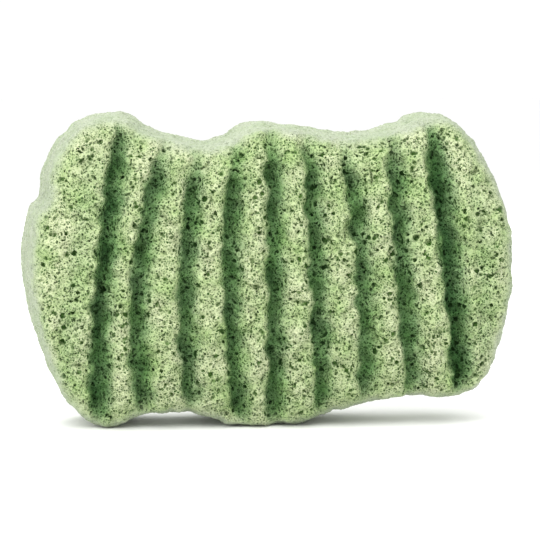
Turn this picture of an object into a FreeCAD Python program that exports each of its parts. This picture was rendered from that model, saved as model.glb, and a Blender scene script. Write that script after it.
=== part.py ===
import FreeCAD, Part
import math
import os

from FreeCAD import Vector

# A hand-sized konjac sponge, one moulded piece, standing on the lobes of its long lower edge.
# X runs along its length, its ribbed front looks towards -Y, its flat back towards +Y, and Z is up.
# The origin is on the surface it stands on, under the middle of the block.

# Driving dimensions, in millimetres and degrees
RIB_PITCH = 11.9
END_ROUND = 16.25  # from the crest of the outermost rib to the tip of the end
THICKNESS = 35.0  # from the flat back to the crown of the ribs
RIB_CROWN = 4.0  # how far a rib swells at half height beyond its upper and lower ends
GROOVE_DEPTH = 5.3  # below the rib crests, at half height
GROOVE_END_DEPTH = 3.0  # below the rib crests, where a groove runs out at the edges
GROOVE_LEFT = 2.6  # width of a groove's steep left flank
GROOVE_RIGHT = 3.8  # width of a groove's gentle right flank
WALL_DRAFT = 3.5  # how much the upper wall opens towards the back
FRONT_RADIUS = 7.0
BACK_RADIUS = 4.0
TIP_HEIGHT = 43.5  # height of the two end tips
LEFT_LOBE_HEIGHT = 85.5
LEFT_WAIST_HEIGHT = 78.5
MIDDLE_LOBE_HEIGHT = 83.3
RIGHT_WAIST_HEIGHT = 80.5
RIGHT_LOBE_HEIGHT = 85.3
LEFT_WAIST_RISE = 4.3  # rises of the lower edge above the surface
RIGHT_WAIST_RISE = 8.0
RIGHT_LOBE_RISE = 7.1
FOOT_FLAT = 0.5  # depth pressed flat where the two standing lobes meet the surface
BACK_FLAT = 0.5  # depth levelled off the back, the open side of the mould

# The grooves from left to right: shift from an even spacing as a share of the pitch, share of the depth,
# and lean of the upper end to the right, so that the grooves fan out towards the lower edge
GROOVES = [
    (0.1, 1.1, 5.3),
    (0.03, 0.9, 5.9),
    (0.02, 0.9, 2.6),
    (0.02, 0.95, 0.3),
    (-0.05, 0.95, -0.5),
    (-0.08, 0.9, -2.8),
    (-0.08, 0.85, -4.5),
    (-0.07, 0.9, -4.9),
    (0.0, 1.15, -6.6),
]

# The two edges as they turn from lobe to waist: share of the ribbed half length, and height
UPPER_TURNS = [
    (-0.82, LEFT_LOBE_HEIGHT),
    (-0.37, LEFT_WAIST_HEIGHT),
    (-0.02, MIDDLE_LOBE_HEIGHT),
    (0.42, RIGHT_WAIST_HEIGHT),
    (0.84, RIGHT_LOBE_HEIGHT),
]
LOWER_TURNS = [
    (-0.84, -FOOT_FLAT),
    (-0.55, LEFT_WAIST_RISE),
    (-0.03, -FOOT_FLAT),
    (0.72, RIGHT_WAIST_RISE),
    (0.92, RIGHT_LOBE_RISE),
]

# How the sections follow the ribs and the rounded ends
FLANK_SHARE = 0.25  # share of the groove's depth at the outer end of its flanks
LEFT_EXPONENT = 1.72  # exponents of the ends from the front: 2 is an ellipse, less is more pointed
RIGHT_EXPONENT = 1.95
END_SECTIONS = 6
END_EXPONENT = 2.5  # exponent of the ends from above: more is squarer
LAST_SECTION_ANGLE = 80.0  # how far round the end the last section lies
LOFT_DEGREE = 2

# Derived sizes
RIBBED_HALF = len(GROOVES) * RIB_PITCH / 2
HALF_LENGTH = RIBBED_HALF + END_ROUND
OUTER_GROOVE = (len(GROOVES) - 1) * RIB_PITCH / 2
BACK = THICKNESS / 2 + BACK_FLAT
FRONT_EDGE = RIB_CROWN - THICKNESS / 2


def superellipse(share, exponent):
    return max(0.0, 1.0 - share**exponent) ** (1.0 / exponent)


def edge_height(x, turns):
    """Height of an edge at x: half cosines between its turns, and a superellipse from the last to the tip."""
    turns = [(share * RIBBED_HALF, height) for share, height in turns]
    first_x, first_height = turns[0]
    last_x, last_height = turns[-1]
    if x <= first_x:
        round_end = superellipse((first_x - x) / (HALF_LENGTH + first_x), LEFT_EXPONENT)
        return TIP_HEIGHT + (first_height - TIP_HEIGHT) * round_end
    if x >= last_x:
        round_end = superellipse((x - last_x) / (HALF_LENGTH - last_x), RIGHT_EXPONENT)
        return TIP_HEIGHT + (last_height - TIP_HEIGHT) * round_end
    for (x0, height0), (x1, height1) in zip(turns, turns[1:]):
        if x <= x1:
            swing = (1.0 - math.cos(math.pi * (x - x0) / (x1 - x0))) / 2
            return height0 + (height1 - height0) * swing


def groove_place(number):
    """Place of a groove along the length, at the height of the tips."""
    return (number + GROOVES[number][0]) * RIB_PITCH - OUTER_GROOVE


def lean_at(x):
    """Lean of a section: that of each groove, changing evenly in between and gone at the tips."""
    leans = [(groove_place(number), groove[2]) for number, groove in enumerate(GROOVES)]
    leans = [(-HALF_LENGTH, 0.0)] + leans + [(HALF_LENGTH, 0.0)]
    for (x0, lean0), (x1, lean1) in zip(leans, leans[1:]):
        if x <= x1:
            return math.radians(lean0 + (lean1 - lean0) * (x - x0) / (x1 - x0))


def leaning_reach(x, lean, turns):
    """Distance from the tips' height to an edge, along a section that leans."""
    level = edge_height(x, turns) - TIP_HEIGHT
    return (edge_height(x + level * math.tan(lean), turns) - TIP_HEIGHT) / math.cos(lean)


def corner(centre, radius, start_angle, end_angle):
    """Start, middle and end of a corner arc, as (y, s) pairs, with angles measured from +Y towards up."""
    points = []
    for angle in (start_angle, (start_angle + end_angle) / 2, end_angle):
        points.append((centre[0] + radius * math.cos(angle), centre[1] + radius * math.sin(angle)))
    return points


def section(x, groove):
    """One cross section: groove is the share of the full groove depth, 0 on a rib or an end."""
    lean = lean_at(x)
    top = leaning_reach(x, lean, UPPER_TURNS)
    bottom = leaning_reach(x, lean, LOWER_TURNS)
    past_ribs = max(0.0, (abs(x) - RIBBED_HALF) / END_ROUND)
    fullness = superellipse(past_ribs, END_EXPONENT)
    front_radius = FRONT_RADIUS * fullness
    back_radius = BACK_RADIUS * fullness
    front = BACK - (BACK - FRONT_EDGE) * fullness + GROOVE_END_DEPTH * groove
    swell = RIB_CROWN * fullness - (GROOVE_DEPTH - GROOVE_END_DEPTH) * groove

    # Corner centres: the upper wall opens towards the back by the draft
    draft = math.radians(WALL_DRAFT)
    upper_back = (BACK - back_radius, top - back_radius)
    lower_back = (BACK - back_radius, bottom + back_radius)
    lower_front = (front + front_radius, bottom + front_radius)
    step_in = back_radius - front_radius
    run = (upper_back[0] - step_in * math.sin(draft) - front - front_radius) / math.cos(draft)
    upper_front = (
        front + front_radius,
        upper_back[1] + step_in * math.cos(draft) - run * math.sin(draft),
    )

    # The front is one arc, tangent to both front corners and swelling or sunk at half height
    half = (upper_front[1] - lower_front[1]) / 2
    middle = (upper_front[1] + lower_front[1]) / 2
    bend = 2 * swell / ((front_radius + swell) ** 2 + half**2 - front_radius**2)
    turn = math.asin(half * bend / (1.0 - front_radius * bend))

    arcs = [
        corner(lower_back, back_radius, -math.pi / 2, 0.0),
        corner(upper_back, back_radius, 0.0, math.pi / 2 + draft),
        corner(upper_front, front_radius, math.pi / 2 + draft, math.pi - turn),
        corner(lower_front, front_radius, math.pi + turn, 3 * math.pi / 2),
    ]

    def place(point):
        y, s = point
        return Vector(x + s * math.sin(lean), y, TIP_HEIGHT + s * math.cos(lean))

    def line(start, end):
        return Part.LineSegment(place(start), place(end)).toShape()

    def arc(points):
        return Part.Arc(*[place(point) for point in points]).toShape()

    front_arc = [arcs[2][2], (front - swell, middle), arcs[3][0]]
    return Part.Wire([
        arc(arcs[0]),
        line(arcs[0][2], arcs[1][0]),
        arc(arcs[1]),
        line(arcs[1][2], arcs[2][0]),
        arc(arcs[2]),
        arc(front_arc) if bend else line(arcs[2][2], arcs[3][0]),
        arc(arcs[3]),
        line(arcs[3][2], arcs[0][0]),
    ])


def stations():
    """Places of the sections along the length, each with its share of groove."""
    places = [(-RIBBED_HALF, 0.0), (RIBBED_HALF, 0.0)]
    bottoms = [groove_place(number) for number in range(len(GROOVES))]
    for bottom, (shift, depth, lean) in zip(bottoms, GROOVES):
        places.append((bottom - GROOVE_LEFT, FLANK_SHARE * depth))
        places.append((bottom, depth))
        places.append((bottom + GROOVE_RIGHT, FLANK_SHARE * depth))
    for left, right in zip(bottoms, bottoms[1:]):
        places.append(((left + GROOVE_RIGHT + right - GROOVE_LEFT) / 2, 0.0))
    places.append(((bottoms[0] - GROOVE_LEFT - RIBBED_HALF) / 2, 0.0))
    for step in range(1, END_SECTIONS + 1):
        past = END_ROUND * math.sin(math.radians(LAST_SECTION_ANGLE * step / END_SECTIONS))
        places.append((RIBBED_HALF + past, 0.0))
        places.append((-RIBBED_HALF - past, 0.0))
    return sorted(places)


def sponge_body():
    """The moulded block, levelled on its back and pressed flat under its two standing lobes."""
    sections = [section(x, groove) for x, groove in stations()]
    block = Part.makeLoft(sections, True, False, False, LOFT_DEGREE)
    room = Part.makeBox(4 * HALF_LENGTH, 2 * THICKNESS, 4 * TIP_HEIGHT)
    room.translate(Vector(-2 * HALF_LENGTH, THICKNESS / 2 - 2 * THICKNESS, 0))
    return block.common(room)


os.makedirs("parts", exist_ok=True)
sponge_body().exportStep("parts/sponge_body.step")
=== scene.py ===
import math
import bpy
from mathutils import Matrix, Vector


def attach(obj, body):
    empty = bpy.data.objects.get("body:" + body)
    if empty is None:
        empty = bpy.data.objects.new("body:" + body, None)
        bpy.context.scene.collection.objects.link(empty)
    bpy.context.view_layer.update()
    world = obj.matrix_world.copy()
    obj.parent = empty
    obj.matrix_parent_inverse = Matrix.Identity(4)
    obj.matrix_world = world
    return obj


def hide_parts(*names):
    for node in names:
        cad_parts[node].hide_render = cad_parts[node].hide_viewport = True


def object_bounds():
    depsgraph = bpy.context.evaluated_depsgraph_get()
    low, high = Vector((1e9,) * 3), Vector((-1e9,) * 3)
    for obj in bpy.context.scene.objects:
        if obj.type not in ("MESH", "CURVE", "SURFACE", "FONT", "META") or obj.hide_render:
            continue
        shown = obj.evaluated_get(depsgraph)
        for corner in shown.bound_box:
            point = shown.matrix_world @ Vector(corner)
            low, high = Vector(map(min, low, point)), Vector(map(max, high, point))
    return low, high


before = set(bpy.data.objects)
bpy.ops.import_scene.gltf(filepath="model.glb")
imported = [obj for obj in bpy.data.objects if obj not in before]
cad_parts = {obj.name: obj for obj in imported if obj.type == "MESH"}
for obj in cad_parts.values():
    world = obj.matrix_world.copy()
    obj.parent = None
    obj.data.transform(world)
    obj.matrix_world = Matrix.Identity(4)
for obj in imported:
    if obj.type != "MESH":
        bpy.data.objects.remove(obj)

from types import SimpleNamespace

import bpy
import numpy as np
import openvdb
from mathutils import Vector

bl_info = {
    "name": "Konjac sponge",
    "version": (1, 0, 0),
    "blender": (4, 5, 0),
    "location": "3D View > Sidebar > Konjac sponge",
    "description": "Moulds a ribbed konjac sponge with open pores and sets it on a pale stage",
    "category": "Add Mesh",
}

CAD_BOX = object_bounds()
CAD_SIZE = CAD_BOX[1] - CAD_BOX[0]
SPONGE_NODE = "sponge_body"
MM = 0.001

# The rim of the sponge, its widest outline: X and Z in millimetres, clockwise from the left tip
RIM_POINTS = [
    (-69.8, 44.0), (-69.3, 51.5), (-67.6, 58.5), (-64.6, 63.0), (-63.9, 69.0), (-61.6, 75.0),
    (-57.4, 80.6), (-52.6, 84.6), (-47.0, 86.2), (-41.0, 86.4), (-36.6, 84.8), (-33.0, 82.2),
    (-27.0, 80.4), (-19.5, 78.6), (-13.0, 79.6), (-8.5, 82.6), (-2.0, 83.8), (8.5, 82.8),
    (15.5, 81.4), (21.5, 80.8), (29.5, 81.6), (36.0, 83.4), (40.0, 85.2), (45.0, 86.2),
    (51.0, 84.8), (55.8, 81.2), (60.0, 75.8), (63.4, 70.2), (66.4, 63.0), (68.6, 56.0),
    (69.8, 47.0), (69.6, 40.0), (67.8, 30.0), (64.2, 18.5), (60.6, 12.4), (56.0, 8.8),
    (49.0, 7.0), (40.0, 7.6), (33.0, 7.0), (24.5, 5.0), (16.5, 3.0), (10.5, 1.0),
    (3.0, -0.3), (-5.0, -0.5), (-12.5, 0.4), (-18.0, 2.6), (-25.0, 3.6), (-34.5, 3.4),
    (-40.0, 1.2), (-46.0, -0.4), (-51.5, 1.4), (-56.5, 5.6), (-60.4, 11.0), (-63.4, 17.5),
    (-66.6, 27.0), (-68.8, 36.0),
]

# Grooves of the front, from left to right: X in millimetres near the top, at half height and near the
# bottom, and the depth and width as shares of the set groove depth and width
GROOVES = [
    (-49.5, -53.5, -58.2, 0.25, 1.6),
    (-42.5, -46.6, -48.3, 1.1, 1.0),
    (-30.2, -36.7, -36.6, 0.9, 1.0),
    (-20.6, -24.1, -23.4, 0.9, 0.95),
    (-10.2, -12.2, -10.5, 0.95, 0.95),
    (-0.4, -0.1, 0.1, 0.95, 0.95),
    (10.0, 11.4, 13.0, 0.9, 0.95),
    (20.4, 24.0, 25.3, 0.85, 1.0),
    (33.0, 35.2, 38.3, 0.9, 1.0),
    (44.5, 48.4, 51.7, 1.2, 1.05),
    (55.5, 57.8, 58.5, 0.27, 1.5),
]
GROOVE_TOP = 75.0
GROOVE_BOTTOM = 13.0

# Cross section of a groove: how steep its two flanks are, its exponent, where more is squarer, and how far
# its deepest line lies to the left, as a share of its width
LEFT_FLANK = 1.4
RIGHT_FLANK = 0.62
GROOVE_EXPONENT = 1.8
GROOVE_SHIFT = 0.25

# How the grooves run out: distances from the rim where they have their full depth, low down and high up, the
# heights between which these change, and the share of the depth that is left at the rim
RUN_OUT_LOW = 8.0
RUN_OUT_HIGH = 14.0
RUN_OUT_HEIGHTS = (35.0, 60.0)
RIM_SHARE = 0.3

# Height of the front's crown, how far above and below it the front has sunk by the set crown, the most that
# it sinks as a share of that, and how far the crown stands ahead of the half thickness
CROWN_HEIGHT = 41.5
CROWN_REACH = 34.5
CROWN_LIMIT = 1.1
CROWN_LEAD = 0.1

# Shares of the draft that the level stretches of the upper and lower walls lack
UPPER_DRAFT_LOSS = 0.6
LOWER_DRAFT_LOSS = 0.9

# Unevenness of the moulding, as pairs of height and lump size in millimetres
GROOVE_EDGE_LUMPS = ((0.35, 5.0), (0.15, 1.5))
FRONT_LUMPS = ((0.4, 6.0), (0.27, 2.5))
BACK_LUMP = (0.2, 9.0)
BLOCK_LUMP = (0.2, 4.0)
FINE_LUMP = (0.07, 0.7)
GROOVE_DEPTH_LUMP = (0.06, 8.0)  # its height is a share of the groove's depth

# Creases of the front: depth, half width as a share of the noise, and sizes of the folds and their patches
CREASE_DEPTH = 0.9
CREASE_SHARE = 0.13
FOLD_SIZE = 9.0
PATCH_SIZE = 8.0

# Open cells of the web: size, strength and depth in millimetres, the level of noise above which they open,
# what the walls add to it, and how far behind the front it rises
CELL_SIZE = 0.5
CELL_STRENGTH = 0.16
CELL_DEPTH = 1.1
CELL_LEVEL = 0.78
WALL_LEVEL = 0.6
WALL_DEPTHS = (1.0, 5.0)

# Pores of the ribbed front: count, and smallest and largest radius in millimetres
PORES = ((2300, 0.34, 0.66), (50, 0.65, 0.95))
PORE_SINK = 0.75  # deepest centre, as a share of the largest radius
PORE_SKEW = 1.8  # more gives more small pores
PORE_STRETCH = 0.22
RIBBED_DEPTH = 3.0  # how far behind the front skin these pores may lie

# Margin of the samples round the block, and of the texture layout, with the depth of the back's part of it
GRID_MARGIN = 2.5
MAP_MARGIN = 3.0
MAP_BACK_DEPTH = 2.5

# Tints that the foam's colour is multiplied by: cloudy patches of tone, painted shade in the open cells of the
# web, painted shade in the pores of the crests
CLOUD_TINT = (0.66, 0.81, 0.57, 1.0)
CELL_SHADE_TINT = (0.07, 0.16, 0.05, 1.0)
SHALLOW_PORE_SHADE = (0.2, 0.34, 0.14, 1.0)

# Studio lights: name, place in metres, size in metres and power in watts
LIGHTS = (
    ("upper_light", (-0.05, -0.22, 0.4), 0.4, 1.5),
    ("left_light", (-0.7, -0.5, 0.4), 0.4, 2.0),
    ("back_light", (0.0, 0.6, 0.35), 0.6, 3.0),
)
WORLD_STRENGTH = 1.08
FLOOR_SIZE = 6.0


class SpongeShape(bpy.types.PropertyGroup):
    """Sizes of the moulded block and its pores"""

    length: bpy.props.FloatProperty(
        name="Length", description="From tip to tip", default=CAD_SIZE.x, min=0.05, unit="LENGTH"
    )
    height: bpy.props.FloatProperty(
        name="Height", description="From the standing lobes to the upper lobes", default=CAD_SIZE.z,
        min=0.03, unit="LENGTH",
    )
    thickness: bpy.props.FloatProperty(
        name="Thickness", description="From the flat back to the rib crests", default=CAD_SIZE.y,
        min=0.015, unit="LENGTH",
    )
    groove_depth: bpy.props.FloatProperty(
        name="Groove depth", description="Depth of a full groove below the rib crests", default=0.0055,
        min=0.0, unit="LENGTH",
    )
    groove_width: bpy.props.FloatProperty(
        name="Groove width", description="Half width of a full groove", default=0.0024, min=0.0005,
        unit="LENGTH",
    )
    crown: bpy.props.FloatProperty(
        name="Crown", description="How far the front swells from its edges to its middle", default=0.004,
        min=0.0, unit="LENGTH",
    )
    wall_draft: bpy.props.FloatProperty(
        name="Wall draft", description="How much the walls open towards the back", default=math.radians(7.2),
        min=0.0, max=0.5, subtype="ANGLE",
    )
    front_radius: bpy.props.FloatProperty(
        name="Front radius", description="Rounding between the walls and the ribbed front", default=0.0075,
        min=0.001, unit="LENGTH",
    )
    back_radius: bpy.props.FloatProperty(
        name="Back radius", description="Rounding between the walls and the flat back", default=0.004,
        min=0.001, unit="LENGTH",
    )
    grain: bpy.props.FloatProperty(
        name="Grain", description="Spacing of the samples that the foam is cut from", default=0.0003,
        min=0.0002, precision=5, unit="LENGTH",
    )
    pores: bpy.props.FloatProperty(
        name="Pores", description="Amount of open pores, where 1 is as photographed", default=1.0,
        min=0.0, max=3.0,
    )
    seed: bpy.props.IntProperty(name="Seed", description="Picks another set of lumps and pores", default=11)


class SpongeFinish(bpy.types.PropertyGroup):
    """Colours of the foam, with painted shade in its grooves and pores"""

    crest: bpy.props.FloatVectorProperty(
        name="Crests", description="Colour of the rib crests", subtype="COLOR", size=4,
        default=(0.53, 0.585, 0.355, 1.0), min=0.0, max=1.0,
    )
    # Painted shade: darker green down the flanks of the grooves, where shade falls
    flank_shade: bpy.props.FloatVectorProperty(
        name="Flanks", description="Colour of the flanks of the grooves", subtype="COLOR", size=4,
        default=(0.27, 0.4, 0.19, 1.0), min=0.0, max=1.0,
    )
    # Painted shade: the darkest green at the bottom of the grooves, where shade falls
    groove: bpy.props.FloatVectorProperty(
        name="Grooves", description="Colour at the bottom of the grooves", subtype="COLOR", size=4,
        default=(0.065, 0.155, 0.052, 1.0), min=0.0, max=1.0,
    )
    wall: bpy.props.FloatVectorProperty(
        name="Walls", description="Colour of the smooth walls and back", subtype="COLOR", size=4,
        default=(0.405, 0.45, 0.335, 1.0), min=0.0, max=1.0,
    )
    # Painted shade: near black green inside the open pores, where shade falls
    pore_shade: bpy.props.FloatVectorProperty(
        name="Pores", description="Colour inside the open pores", subtype="COLOR", size=4,
        default=(0.012, 0.04, 0.006, 1.0), min=0.0, max=1.0,
    )


class StageSettings(bpy.types.PropertyGroup):
    """Floor and camera"""

    floor: bpy.props.FloatVectorProperty(
        name="Floor", description="Colour of the pale floor", subtype="COLOR", size=4,
        default=(0.93, 0.93, 0.93, 1.0), min=0.0, max=1.0,
    )
    azimuth: bpy.props.FloatProperty(
        name="Azimuth", description="Turn of the camera round the sponge, negative to its left",
        default=math.radians(-5.0), subtype="ANGLE",
    )
    elevation: bpy.props.FloatProperty(
        name="Elevation", description="Height of the camera above the horizon", default=math.radians(6.0),
        subtype="ANGLE",
    )
    distance: bpy.props.FloatProperty(
        name="Distance", description="From the camera to the middle of the sponge", default=0.64, min=0.2,
        unit="LENGTH",
    )
    framed_width: bpy.props.FloatProperty(
        name="Framed width", description="Width of the picture at the middle of the sponge", default=0.1505,
        min=0.05, unit="LENGTH",
    )


def smoothstep(low, high, value):
    share = np.clip((value - low) / (high - low), 0.0, 1.0)
    return share * share * (3.0 - 2.0 * share)


def rounded_max(first, second, radius):
    """Larger of two distances, with the edge where they meet rounded to this radius."""
    inner = np.minimum(np.maximum(first, second), -radius)
    return inner + np.hypot(np.maximum(first + radius, 0.0), np.maximum(second + radius, 0.0))


def lump_noise(rng, shape, step, lump):
    """Seeded noise of unit spread, with lumps about this many millimetres across."""
    frequencies = [np.fft.fftfreq(count, step) for count in shape[:-1]]
    frequencies.append(np.fft.rfftfreq(shape[-1], step))
    square = np.zeros((1,) * len(shape))
    for axis, line in enumerate(frequencies):
        along_axis = [-1 if number == axis else 1 for number in range(len(shape))]
        square = square + (line * 2.0 * lump).reshape(along_axis) ** 2
    strength = square * np.exp(-square)
    waves = rng.standard_normal(strength.shape) + 1j * rng.standard_normal(strength.shape)
    noise = np.fft.irfftn(waves * strength, shape, axes=range(len(shape))).astype(np.float32)
    return noise / noise.std()


def rim_curve(points, steps=8):
    """A smooth closed line through the rim's points."""
    points = np.array(points)
    before, after, beyond = (np.roll(points, shift, axis=0) for shift in (1, -1, -2))
    line = []
    for share in np.arange(steps) / steps:
        line.append(
            0.5 * (2.0 * points + (after - before) * share)
            + 0.5 * (2.0 * before - 5.0 * points + 4.0 * after - beyond) * share**2
            + 0.5 * (3.0 * points - before - 3.0 * after + beyond) * share**3
        )
    return np.stack(line, axis=1).reshape(-1, 2)


def rim_distance(x, z, line):
    """Distance of each place of the X and Z grid from the rim, negative inside it."""
    x = x[:, None]
    z = z[None, :]
    nearest = np.full((x.size, z.size), np.inf)
    inside = np.zeros(nearest.shape, bool)
    for (x0, z0), (x1, z1) in zip(line, np.roll(line, -1, axis=0)):
        along = ((x - x0) * (x1 - x0) + (z - z0) * (z1 - z0)) / ((x1 - x0) ** 2 + (z1 - z0) ** 2)
        along = np.clip(along, 0.0, 1.0)
        nearest = np.minimum(nearest, np.hypot(x - x0 - along * (x1 - x0), z - z0 - along * (z1 - z0)))
        if z0 != z1:
            crossing = x0 + (z - z0) * (x1 - x0) / (z1 - z0)
            inside ^= ((z0 > z) != (z1 > z)) & (x < crossing)
    return np.where(inside, -nearest, nearest).astype(np.float32)


def groove_relief(grid, shape, inside, rng):
    """Depth of the grooves below the rib crests, in millimetres, over the X and Z grid."""
    height = (grid.z - GROOVE_BOTTOM) / (GROOVE_TOP - GROOVE_BOTTOM)
    bow = 4.0 * height * (1.0 - height)
    ragged = 0.0
    for rise, lump in GROOVE_EDGE_LUMPS:
        ragged = ragged + rise * lump_noise(rng, inside.shape, grid.step, lump)
    relief = np.zeros(inside.shape, np.float32)
    for top, middle, bottom, deep, wide in GROOVES:
        width = wide * shape.groove_width / MM
        path = bottom + (top - bottom) * height + (middle - (top + bottom) / 2.0) * bow
        path = path - GROOVE_SHIFT * width
        swing, lump = GROOVE_DEPTH_LUMP
        depth = deep * shape.groove_depth / MM * (1.0 + swing * lump_noise(rng, grid.z.shape, grid.step, lump))
        across = (grid.x[:, None] + ragged - path[None, :]) / width
        across = np.where(across < 0.0, -LEFT_FLANK * across, RIGHT_FLANK * across)
        relief = np.maximum(relief, depth[None, :] * np.exp(-(across**GROOVE_EXPONENT)))
    run_out = RUN_OUT_LOW + (RUN_OUT_HIGH - RUN_OUT_LOW) * smoothstep(*RUN_OUT_HEIGHTS, grid.z[None, :])
    return relief * (RIM_SHARE + (1.0 - RIM_SHARE) * smoothstep(1.0, run_out, inside))


def foam_grid(shape):
    """The places where the foam is sampled, in millimetres, with a margin round the block."""
    step = shape.grain / MM
    low = CAD_BOX[0] / MM
    high = CAD_BOX[1] / MM
    x = np.arange(low.x - GRID_MARGIN, high.x + GRID_MARGIN, step, dtype=np.float32)
    y = np.arange(low.y - GRID_MARGIN, high.y + GRID_MARGIN, step, dtype=np.float32)
    z = np.arange(-GRID_MARGIN, high.z + GRID_MARGIN, step, dtype=np.float32)
    return SimpleNamespace(x=x, y=y, z=z, step=step, origin=np.array([x[0], y[0], z[0]]))


def moulded_block(grid, shape, rng):
    """The block before its pores: its field of distances, its front skin and its groove relief."""
    rim = np.array(RIM_POINTS) * [shape.length / CAD_SIZE.x, shape.height / CAD_SIZE.z]
    edge = rim_distance(grid.x, grid.z, rim_curve(rim))
    slope_up = np.gradient(edge, grid.step, axis=1)
    draft_share = 1.0 - np.where(slope_up > 0.0, UPPER_DRAFT_LOSS * slope_up, -LOWER_DRAFT_LOSS * slope_up)
    inside = np.maximum(-edge, 0.0)

    relief = groove_relief(grid, shape, inside, rng)
    half = shape.thickness / MM / 2.0
    bulge = np.minimum(((grid.z[None, :] - CROWN_HEIGHT) / CROWN_REACH) ** 2, CROWN_LIMIT)
    skin = -half - CROWN_LEAD + shape.crown / MM * bulge
    for rise, lump in FRONT_LUMPS:
        skin = skin + rise * lump_noise(rng, edge.shape, grid.step, lump)
    fold = lump_noise(rng, edge.shape, grid.step, FOLD_SIZE)
    creased = smoothstep(0.5, 1.2, lump_noise(rng, edge.shape, grid.step, PATCH_SIZE))
    skin = skin + CREASE_DEPTH * creased * np.exp(-((fold / CREASE_SHARE) ** 2))
    front = skin + relief
    rise, lump = BACK_LUMP
    back = half - rise + rise * lump_noise(rng, edge.shape, grid.step, lump)

    rise, lump = BLOCK_LUMP
    lumps = rise * lump_noise(rng, (grid.x.size, grid.y.size, grid.z.size), grid.step, lump)
    block = np.empty(lumps.shape, np.float32)
    for number, y in enumerate(grid.y):
        wall = edge + math.tan(shape.wall_draft) * (half - y) * draft_share
        round_front = rounded_max(wall, front - y, shape.front_radius / MM)
        block[:, number, :] = rounded_max(round_front, y - back, shape.back_radius / MM)
    block += lumps
    return block, skin, relief


def open_web(block, behind, grid, rng, amount):
    """Fine open cells between the strands of the skin, sparser on the walls and the back."""
    cells = lump_noise(rng, block.shape, grid.step, CELL_SIZE)
    cells -= (CELL_LEVEL + WALL_LEVEL * smoothstep(*WALL_DEPTHS, behind)) / max(amount, 0.05)
    return np.minimum(CELL_STRENGTH * cells, block + CELL_DEPTH)


def open_pores(field, block, grid, rng, count, smallest, largest, where):
    """Cuts pores of these radii, in millimetres, into the field, just under the skin of the block."""
    places = np.flatnonzero((block > -PORE_SINK * largest) & (block < 0.0) & where)
    places = rng.choice(places, min(count, places.size), replace=False)
    centres = np.stack(np.unravel_index(places, field.shape), axis=1)
    radii = smallest * (largest / smallest) ** (rng.random(len(centres)) ** PORE_SKEW)
    stretch = np.exp(rng.normal(0.0, PORE_STRETCH, (len(centres), 3)))
    turns, _ = np.linalg.qr(rng.normal(size=(len(centres), 3, 3)))
    jitter = rng.random((len(centres), 3)) - 0.5
    reach = int(math.ceil(1.5 * largest / grid.step))
    span = np.arange(-reach, reach + 1)
    offsets = np.stack(np.meshgrid(span, span, span, indexing="ij"), axis=-1).reshape(-1, 3)
    flat = field.reshape(-1)
    batch = max(1, 3_000_000 // len(offsets))
    for start in range(0, len(centres), batch):
        part = slice(start, start + batch)
        cells = centres[part, None, :] + offsets[None]
        held = ((cells >= 0) & (cells < field.shape)).all(axis=2)
        local = (offsets[None] - jitter[part, None, :]) * grid.step
        reaches = stretch[part] * radii[part, None]
        local = np.einsum("pij,poj->poi", turns[part], local) / reaches[:, None, :]
        opening = (1.0 - np.sqrt((local**2).sum(axis=2))) * radii[part, None]
        held &= opening > -2.0 * grid.step
        index = np.ravel_multi_index(cells[held].T, field.shape)
        np.maximum.at(flat, index, opening[held].astype(np.float32))


def largest_shell(points, quads):
    """Keeps the outer skin and drops closed bubbles and loose crumbs."""
    label = np.arange(len(points))
    first = quads.ravel()
    second = np.roll(quads, -1, axis=1).ravel()
    while True:
        low = np.minimum(label[first], label[second])
        settled = label.copy()
        np.minimum.at(settled, first, low)
        np.minimum.at(settled, second, low)
        settled = settled[settled]
        settled = settled[settled]
        if (settled == label).all():
            break
        label = settled
    kept = label == np.bincount(label).argmax()
    renumber = np.cumsum(kept) - 1
    return points[kept], renumber[quads[kept[quads[:, 0]]]]


def sample_field(field, places):
    """Values of a field between its samples."""
    base = np.floor(places).astype(int)
    base = np.clip(base, 0, np.array(field.shape) - 2)
    share = (places - base).astype(np.float32)
    total = np.zeros(len(places), np.float32)
    for corner in np.ndindex(*(2,) * field.ndim):
        weight = np.prod(np.where(corner, share, 1.0 - share), axis=1)
        total += weight * field[tuple((base + corner).T)]
    return total


def lay_out_map(mesh, points, quads, behind_front, half):
    """A flat layout of the skin for textures: front and back side by side with the walls in strips."""
    corners = points[quads]
    middle = corners.mean(axis=1)
    is_front = behind_front[quads].mean(axis=1) < RIBBED_DEPTH
    is_back = middle[:, 1] > half - MAP_BACK_DEPTH
    width, deep, height = (side / MM + 2.0 * MAP_MARGIN for side in CAD_SIZE)
    u = corners[:, :, 0] + width / 2.0
    v = corners[:, :, 2] + MAP_MARGIN
    v = np.where(is_back[:, None], v + height, v)
    turn = np.arctan2(corners[:, :, 2] - height / 2.0, corners[:, :, 0]) / (2.0 * math.pi) + 0.5
    turn = turn - np.round(turn - turn[:, :1])
    strips = 3
    strip = np.clip(np.floor(turn.mean(axis=1) * strips), 0, strips - 1)
    wall_u = width + strip[:, None] * deep + corners[:, :, 1] + deep / 2.0
    wall_v = (turn * strips - strip[:, None]) * (2.0 * height - 2.0 * MAP_MARGIN) + MAP_MARGIN
    is_wall = ~(is_front | is_back)
    u = np.where(is_wall[:, None], wall_u, u)
    v = np.where(is_wall[:, None], wall_v, v)
    whole = max(width + strips * deep, 2.0 * height)
    layer = mesh.uv_layers.new(name="OFBake")
    layer.uv.foreach_set("vector", (np.stack([u, v], axis=-1) / whole).astype(np.float32).ravel())


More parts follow.
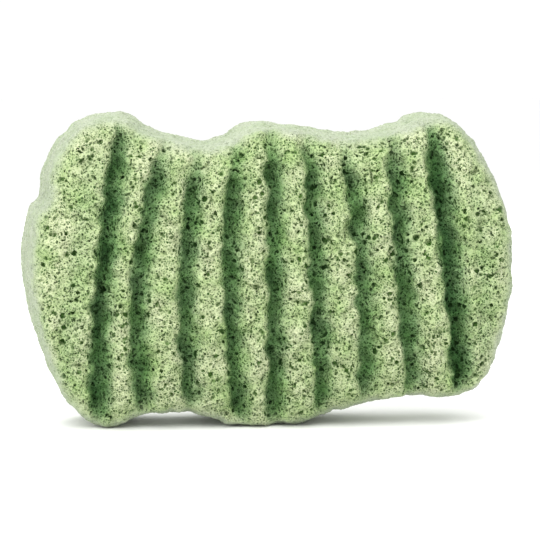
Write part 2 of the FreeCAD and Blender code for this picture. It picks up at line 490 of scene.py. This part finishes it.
def foam_mesh(shape):
    """The finished foam as a mesh in metres, with pore depth, groove depth and wall share on its points."""
    rng = np.random.default_rng(shape.seed)
    grid = foam_grid(shape)
    block, skin, relief = moulded_block(grid, shape, rng)
    behind = grid.y[None, :, None] - (skin + relief)[:, None, :]
    rise, lump = FINE_LUMP
    block += rise * lump_noise(rng, block.shape, grid.step, lump)
    field = np.maximum(block, open_web(block, behind, grid, rng, shape.pores))
    ribbed = behind < RIBBED_DEPTH
    for count, smallest, largest in PORES:
        open_pores(field, block, grid, rng, int(count * shape.pores), smallest, largest, ribbed)
    field = np.maximum(field, -grid.z[None, None, :])

    volume = openvdb.FloatGrid(2.0)
    volume.copyFromArray(np.clip(field, -2.0, 2.0))
    points, quads = volume.convertToQuads(0.0)
    points, quads = largest_shell(points.astype(np.float64), quads.astype(np.int64))
    placed = points * grid.step + grid.origin

    mesh = bpy.data.meshes.new("sponge_foam")
    mesh.vertices.add(len(placed))
    mesh.vertices.foreach_set("co", (placed * MM).astype(np.float32).ravel())
    mesh.loops.add(quads.size)
    mesh.loops.foreach_set("vertex_index", quads.astype(np.int32).ravel())
    mesh.polygons.add(len(quads))
    mesh.polygons.foreach_set("loop_start", np.arange(0, quads.size, 4, dtype=np.int32))
    mesh.update(calc_edges=True)

    plan = points[:, [0, 2]]
    sunk = sample_field(relief, plan)
    behind_front = placed[:, 1] - sample_field(skin, plan) - sunk
    depths = {
        "pore_depth": np.clip(-sample_field(block, points) / 1.2, 0.0, 1.0),
        "groove_depth": np.clip(sunk / (shape.groove_depth / MM), 0.0, 1.2),
        "wall_share": smoothstep(1.2, 5.5, behind_front),
    }
    for name, values in depths.items():
        layer = mesh.attributes.new(name, "FLOAT", "POINT")
        layer.data.foreach_set("value", values.astype(np.float32))
    lay_out_map(mesh, placed, quads, behind_front, shape.thickness / MM / 2.0)
    mesh.shade_smooth()
    return mesh


class NodeBoard:
    """Adds nodes to a material and links them."""

    def __init__(self, material):
        material.use_nodes = True
        self.tree = material.node_tree
        self.shader = self.tree.nodes["Principled BSDF"]

    def add(self, kind, inputs=None, **settings):
        node = self.tree.nodes.new(kind)
        for name, value in settings.items():
            setattr(node, name, value)
        for name, value in (inputs or {}).items():
            self.feed(node.inputs[name], value)
        return node

    def feed(self, socket, value):
        if isinstance(value, bpy.types.NodeSocket):
            self.tree.links.new(value, socket)
        else:
            socket.default_value = value

    def attribute(self, name):
        return self.add("ShaderNodeAttribute", attribute_name=name).outputs["Fac"]

    def ranged(self, value, low, high, to_low=0.0, to_high=1.0):
        inputs = {"Value": value, "From Min": low, "From Max": high, "To Min": to_low, "To Max": to_high}
        return self.add("ShaderNodeMapRange", inputs).outputs["Result"]

    def mixed(self, share, first, second, blend="MIX"):
        node = self.add("ShaderNodeMix", data_type="RGBA", blend_type=blend)
        colours = [socket for socket in node.inputs if socket.type == "RGBA"]
        self.feed(node.inputs["Factor"], share)
        self.feed(colours[0], first)
        self.feed(colours[1], second)
        return [socket for socket in node.outputs if socket.type == "RGBA"][0]

    def math(self, operation, first, second):
        node = self.add("ShaderNodeMath", operation=operation)
        self.feed(node.inputs[0], first)
        self.feed(node.inputs[1], second)
        return node.outputs["Value"]


def foam_material(finish):
    """Pale konjac fibre: a fine web over open cells with painted shade in them, and painted shade of deeper
    green in the grooves and pores.
    """
    material = bpy.data.materials.new("konjac_foam")
    board = NodeBoard(material)
    place = board.add("ShaderNodeTexCoord").outputs["Object"]
    sway = board.add("ShaderNodeTexNoise", {"Vector": place, "Scale": 800.0}).outputs["Color"]
    bent = board.add("ShaderNodeVectorMath", operation="MULTIPLY_ADD")
    for socket, value in zip(bent.inputs, (sway, (0.0005, 0.0005, 0.0005), place)):
        board.feed(socket, value)
    web = {"Vector": bent.outputs["Vector"], "Scale": 1450.0}
    edges = board.add("ShaderNodeTexVoronoi", web, feature="DISTANCE_TO_EDGE").outputs["Distance"]
    cells = board.add("ShaderNodeTexVoronoi", web, feature="F1").outputs["Color"]
    chance = board.add("ShaderNodeSeparateColor", {"Color": cells}).outputs["Red"]
    openness = board.math("MULTIPLY", board.ranged(chance, 0.0, 1.0, 0.2), board.ranged(edges, 0.04, 0.22))
    specks = board.add("ShaderNodeTexNoise", {"Vector": place, "Scale": 1100.0, "Detail": 3.0}).outputs["Fac"]
    clouds = board.add("ShaderNodeTexNoise", {"Vector": place, "Scale": 130.0, "Detail": 3.0}).outputs["Fac"]

    groove = board.attribute("groove_depth")
    wall = board.attribute("wall_share")
    # Painted shade in the grooves: darker down the flanks and darkest at the bottom, by groove depth
    colour = board.mixed(board.ranged(groove, 0.1, 0.65), tuple(finish.crest), tuple(finish.flank_shade))
    colour = board.mixed(board.ranged(groove, 0.25, 1.15), colour, tuple(finish.groove))
    colour = board.mixed(wall, colour, tuple(finish.wall))
    tinted = board.mixed(1.0, colour, CLOUD_TINT, "MULTIPLY")
    cloudy = board.math("MULTIPLY", board.ranged(clouds, 0.35, 0.7), board.ranged(wall, 0.0, 1.0, 1.0, 0.4))
    colour = board.mixed(cloudy, colour, tinted)
    # Painted shade in the open cells between the strands, less on the walls
    cell_shade = board.mixed(1.0, colour, CELL_SHADE_TINT, "MULTIPLY")
    cell_shade_share = board.math("MULTIPLY", openness, board.ranged(wall, 0.0, 1.0, 1.0, 0.35))
    colour = board.mixed(cell_shade_share, colour, cell_shade)
    # Painted shade in the pores: the colour darkened by the shallow tint on the crests, near black in the
    # grooves, stronger the deeper the pore
    shallow_pore_shade = board.mixed(1.0, colour, SHALLOW_PORE_SHADE, "MULTIPLY")
    pore_shade = board.mixed(board.ranged(groove, 0.0, 0.5), shallow_pore_shade, tuple(finish.pore_shade))
    colour = board.mixed(board.ranged(board.attribute("pore_depth"), 0.12, 0.8), colour, pore_shade)
    board.feed(board.shader.inputs["Base Color"], colour)

    board.feed(board.shader.inputs["Roughness"], board.ranged(specks, 0.3, 0.7, 0.75, 0.95))
    dents = board.math("SUBTRACT", board.math("MULTIPLY", specks, 0.4), openness)
    bump = board.add("ShaderNodeBump", {"Height": dents, "Strength": 0.7, "Distance": 0.0003})
    board.feed(board.shader.inputs["Normal"], bump.outputs["Normal"])
    board.shader.inputs["Subsurface Weight"].default_value = 0.15
    board.shader.inputs["Subsurface Radius"].default_value = (0.9, 1.0, 0.6)
    board.shader.inputs["Subsurface Scale"].default_value = 0.001
    board.shader.inputs["Specular IOR Level"].default_value = 0.15
    return material


def stage_material(name, colour):
    material = bpy.data.materials.new(name)
    material.use_nodes = True
    shader = material.node_tree.nodes["Principled BSDF"]
    shader.inputs["Base Color"].default_value = tuple(colour)
    shader.inputs["Roughness"].default_value = 0.9
    shader.inputs["Specular IOR Level"].default_value = 0.1
    return material


def soft_light(name, place, target, size, power):
    """A square studio light that faces the target."""
    lamp = bpy.data.lights.new(name, "AREA")
    lamp.shape = "SQUARE"
    lamp.size = size
    lamp.energy = power
    light = bpy.data.objects.new(name, lamp)
    light.location = place
    light.rotation_mode = "QUATERNION"
    light.rotation_quaternion = (Vector(target) - Vector(place)).to_track_quat("-Z", "Y")
    bpy.context.collection.objects.link(light)


class MouldSponge(bpy.types.Operator):
    """Mould the porous sponge in place of its plain solid"""

    bl_idname = "konjac.mould_sponge"
    bl_label = "Mould the sponge"

    def execute(self, context):
        mesh = foam_mesh(context.scene.konjac_shape)
        mesh.materials.append(foam_material(context.scene.konjac_finish))
        sponge = bpy.data.objects.new("sponge_foam", mesh)
        context.collection.objects.link(sponge)
        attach(sponge, "root")
        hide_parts(SPONGE_NODE)
        return {"FINISHED"}


class SetStage(bpy.types.Operator):
    """Lay the pale floor and set the light and the camera"""

    bl_idname = "konjac.set_stage"
    bl_label = "Set the stage"

    def execute(self, context):
        stage = context.scene.konjac_stage
        bpy.ops.mesh.primitive_plane_add(size=FLOOR_SIZE)
        floor = context.active_object
        floor.name = "floor"
        floor.data.materials.append(stage_material("pale_floor", stage.floor))

        world = bpy.data.worlds.new("studio")
        world.use_nodes = True
        world.node_tree.nodes["Background"].inputs["Color"].default_value = (1.0, 1.0, 1.0, 1.0)
        world.node_tree.nodes["Background"].inputs["Strength"].default_value = WORLD_STRENGTH
        context.scene.world = world
        context.scene.view_settings.view_transform = "Standard"

        middle = (CAD_BOX[0] + CAD_BOX[1]) / 2
        for name, place, size, power in LIGHTS:
            soft_light(name, place, middle, size, power)

        lens = bpy.data.cameras.new("camera")
        lens.sensor_fit = "HORIZONTAL"
        lens.lens = lens.sensor_width * stage.distance / stage.framed_width
        camera = bpy.data.objects.new("camera", lens)
        turn, rise = stage.azimuth, stage.elevation
        away = Vector((math.sin(turn) * math.cos(rise), -math.cos(turn) * math.cos(rise), math.sin(rise)))
        camera.location = middle + away * stage.distance
        camera.rotation_mode = "QUATERNION"
        camera.rotation_quaternion = (-away).to_track_quat("-Z", "Y")
        context.collection.objects.link(camera)
        context.scene.camera = camera
        return {"FINISHED"}


class SpongePanel(bpy.types.Panel):
    """Settings and steps of the konjac sponge"""

    bl_idname = "VIEW3D_PT_konjac_sponge"
    bl_label = "Konjac sponge"
    bl_space_type = "VIEW_3D"
    bl_region_type = "UI"
    bl_category = "Konjac sponge"

    def draw(self, context):
        for settings in (context.scene.konjac_shape, context.scene.konjac_finish, context.scene.konjac_stage):
            column = self.layout.column()
            for name in settings.__annotations__:
                column.prop(settings, name)
        self.layout.operator(MouldSponge.bl_idname)
        self.layout.operator(SetStage.bl_idname)


CLASSES = (SpongeShape, SpongeFinish, StageSettings, MouldSponge, SetStage, SpongePanel)


def register():
    for kind in CLASSES:
        bpy.utils.register_class(kind)
    bpy.types.Scene.konjac_shape = bpy.props.PointerProperty(type=SpongeShape)
    bpy.types.Scene.konjac_finish = bpy.props.PointerProperty(type=SpongeFinish)
    bpy.types.Scene.konjac_stage = bpy.props.PointerProperty(type=StageSettings)


def unregister():
    del bpy.types.Scene.konjac_stage
    del bpy.types.Scene.konjac_finish
    del bpy.types.Scene.konjac_shape
    for kind in reversed(CLASSES):
        bpy.utils.unregister_class(kind)


def main():
    register()
    bpy.ops.konjac.mould_sponge()
    bpy.ops.konjac.set_stage()


if __name__ == "__main__":
    main()
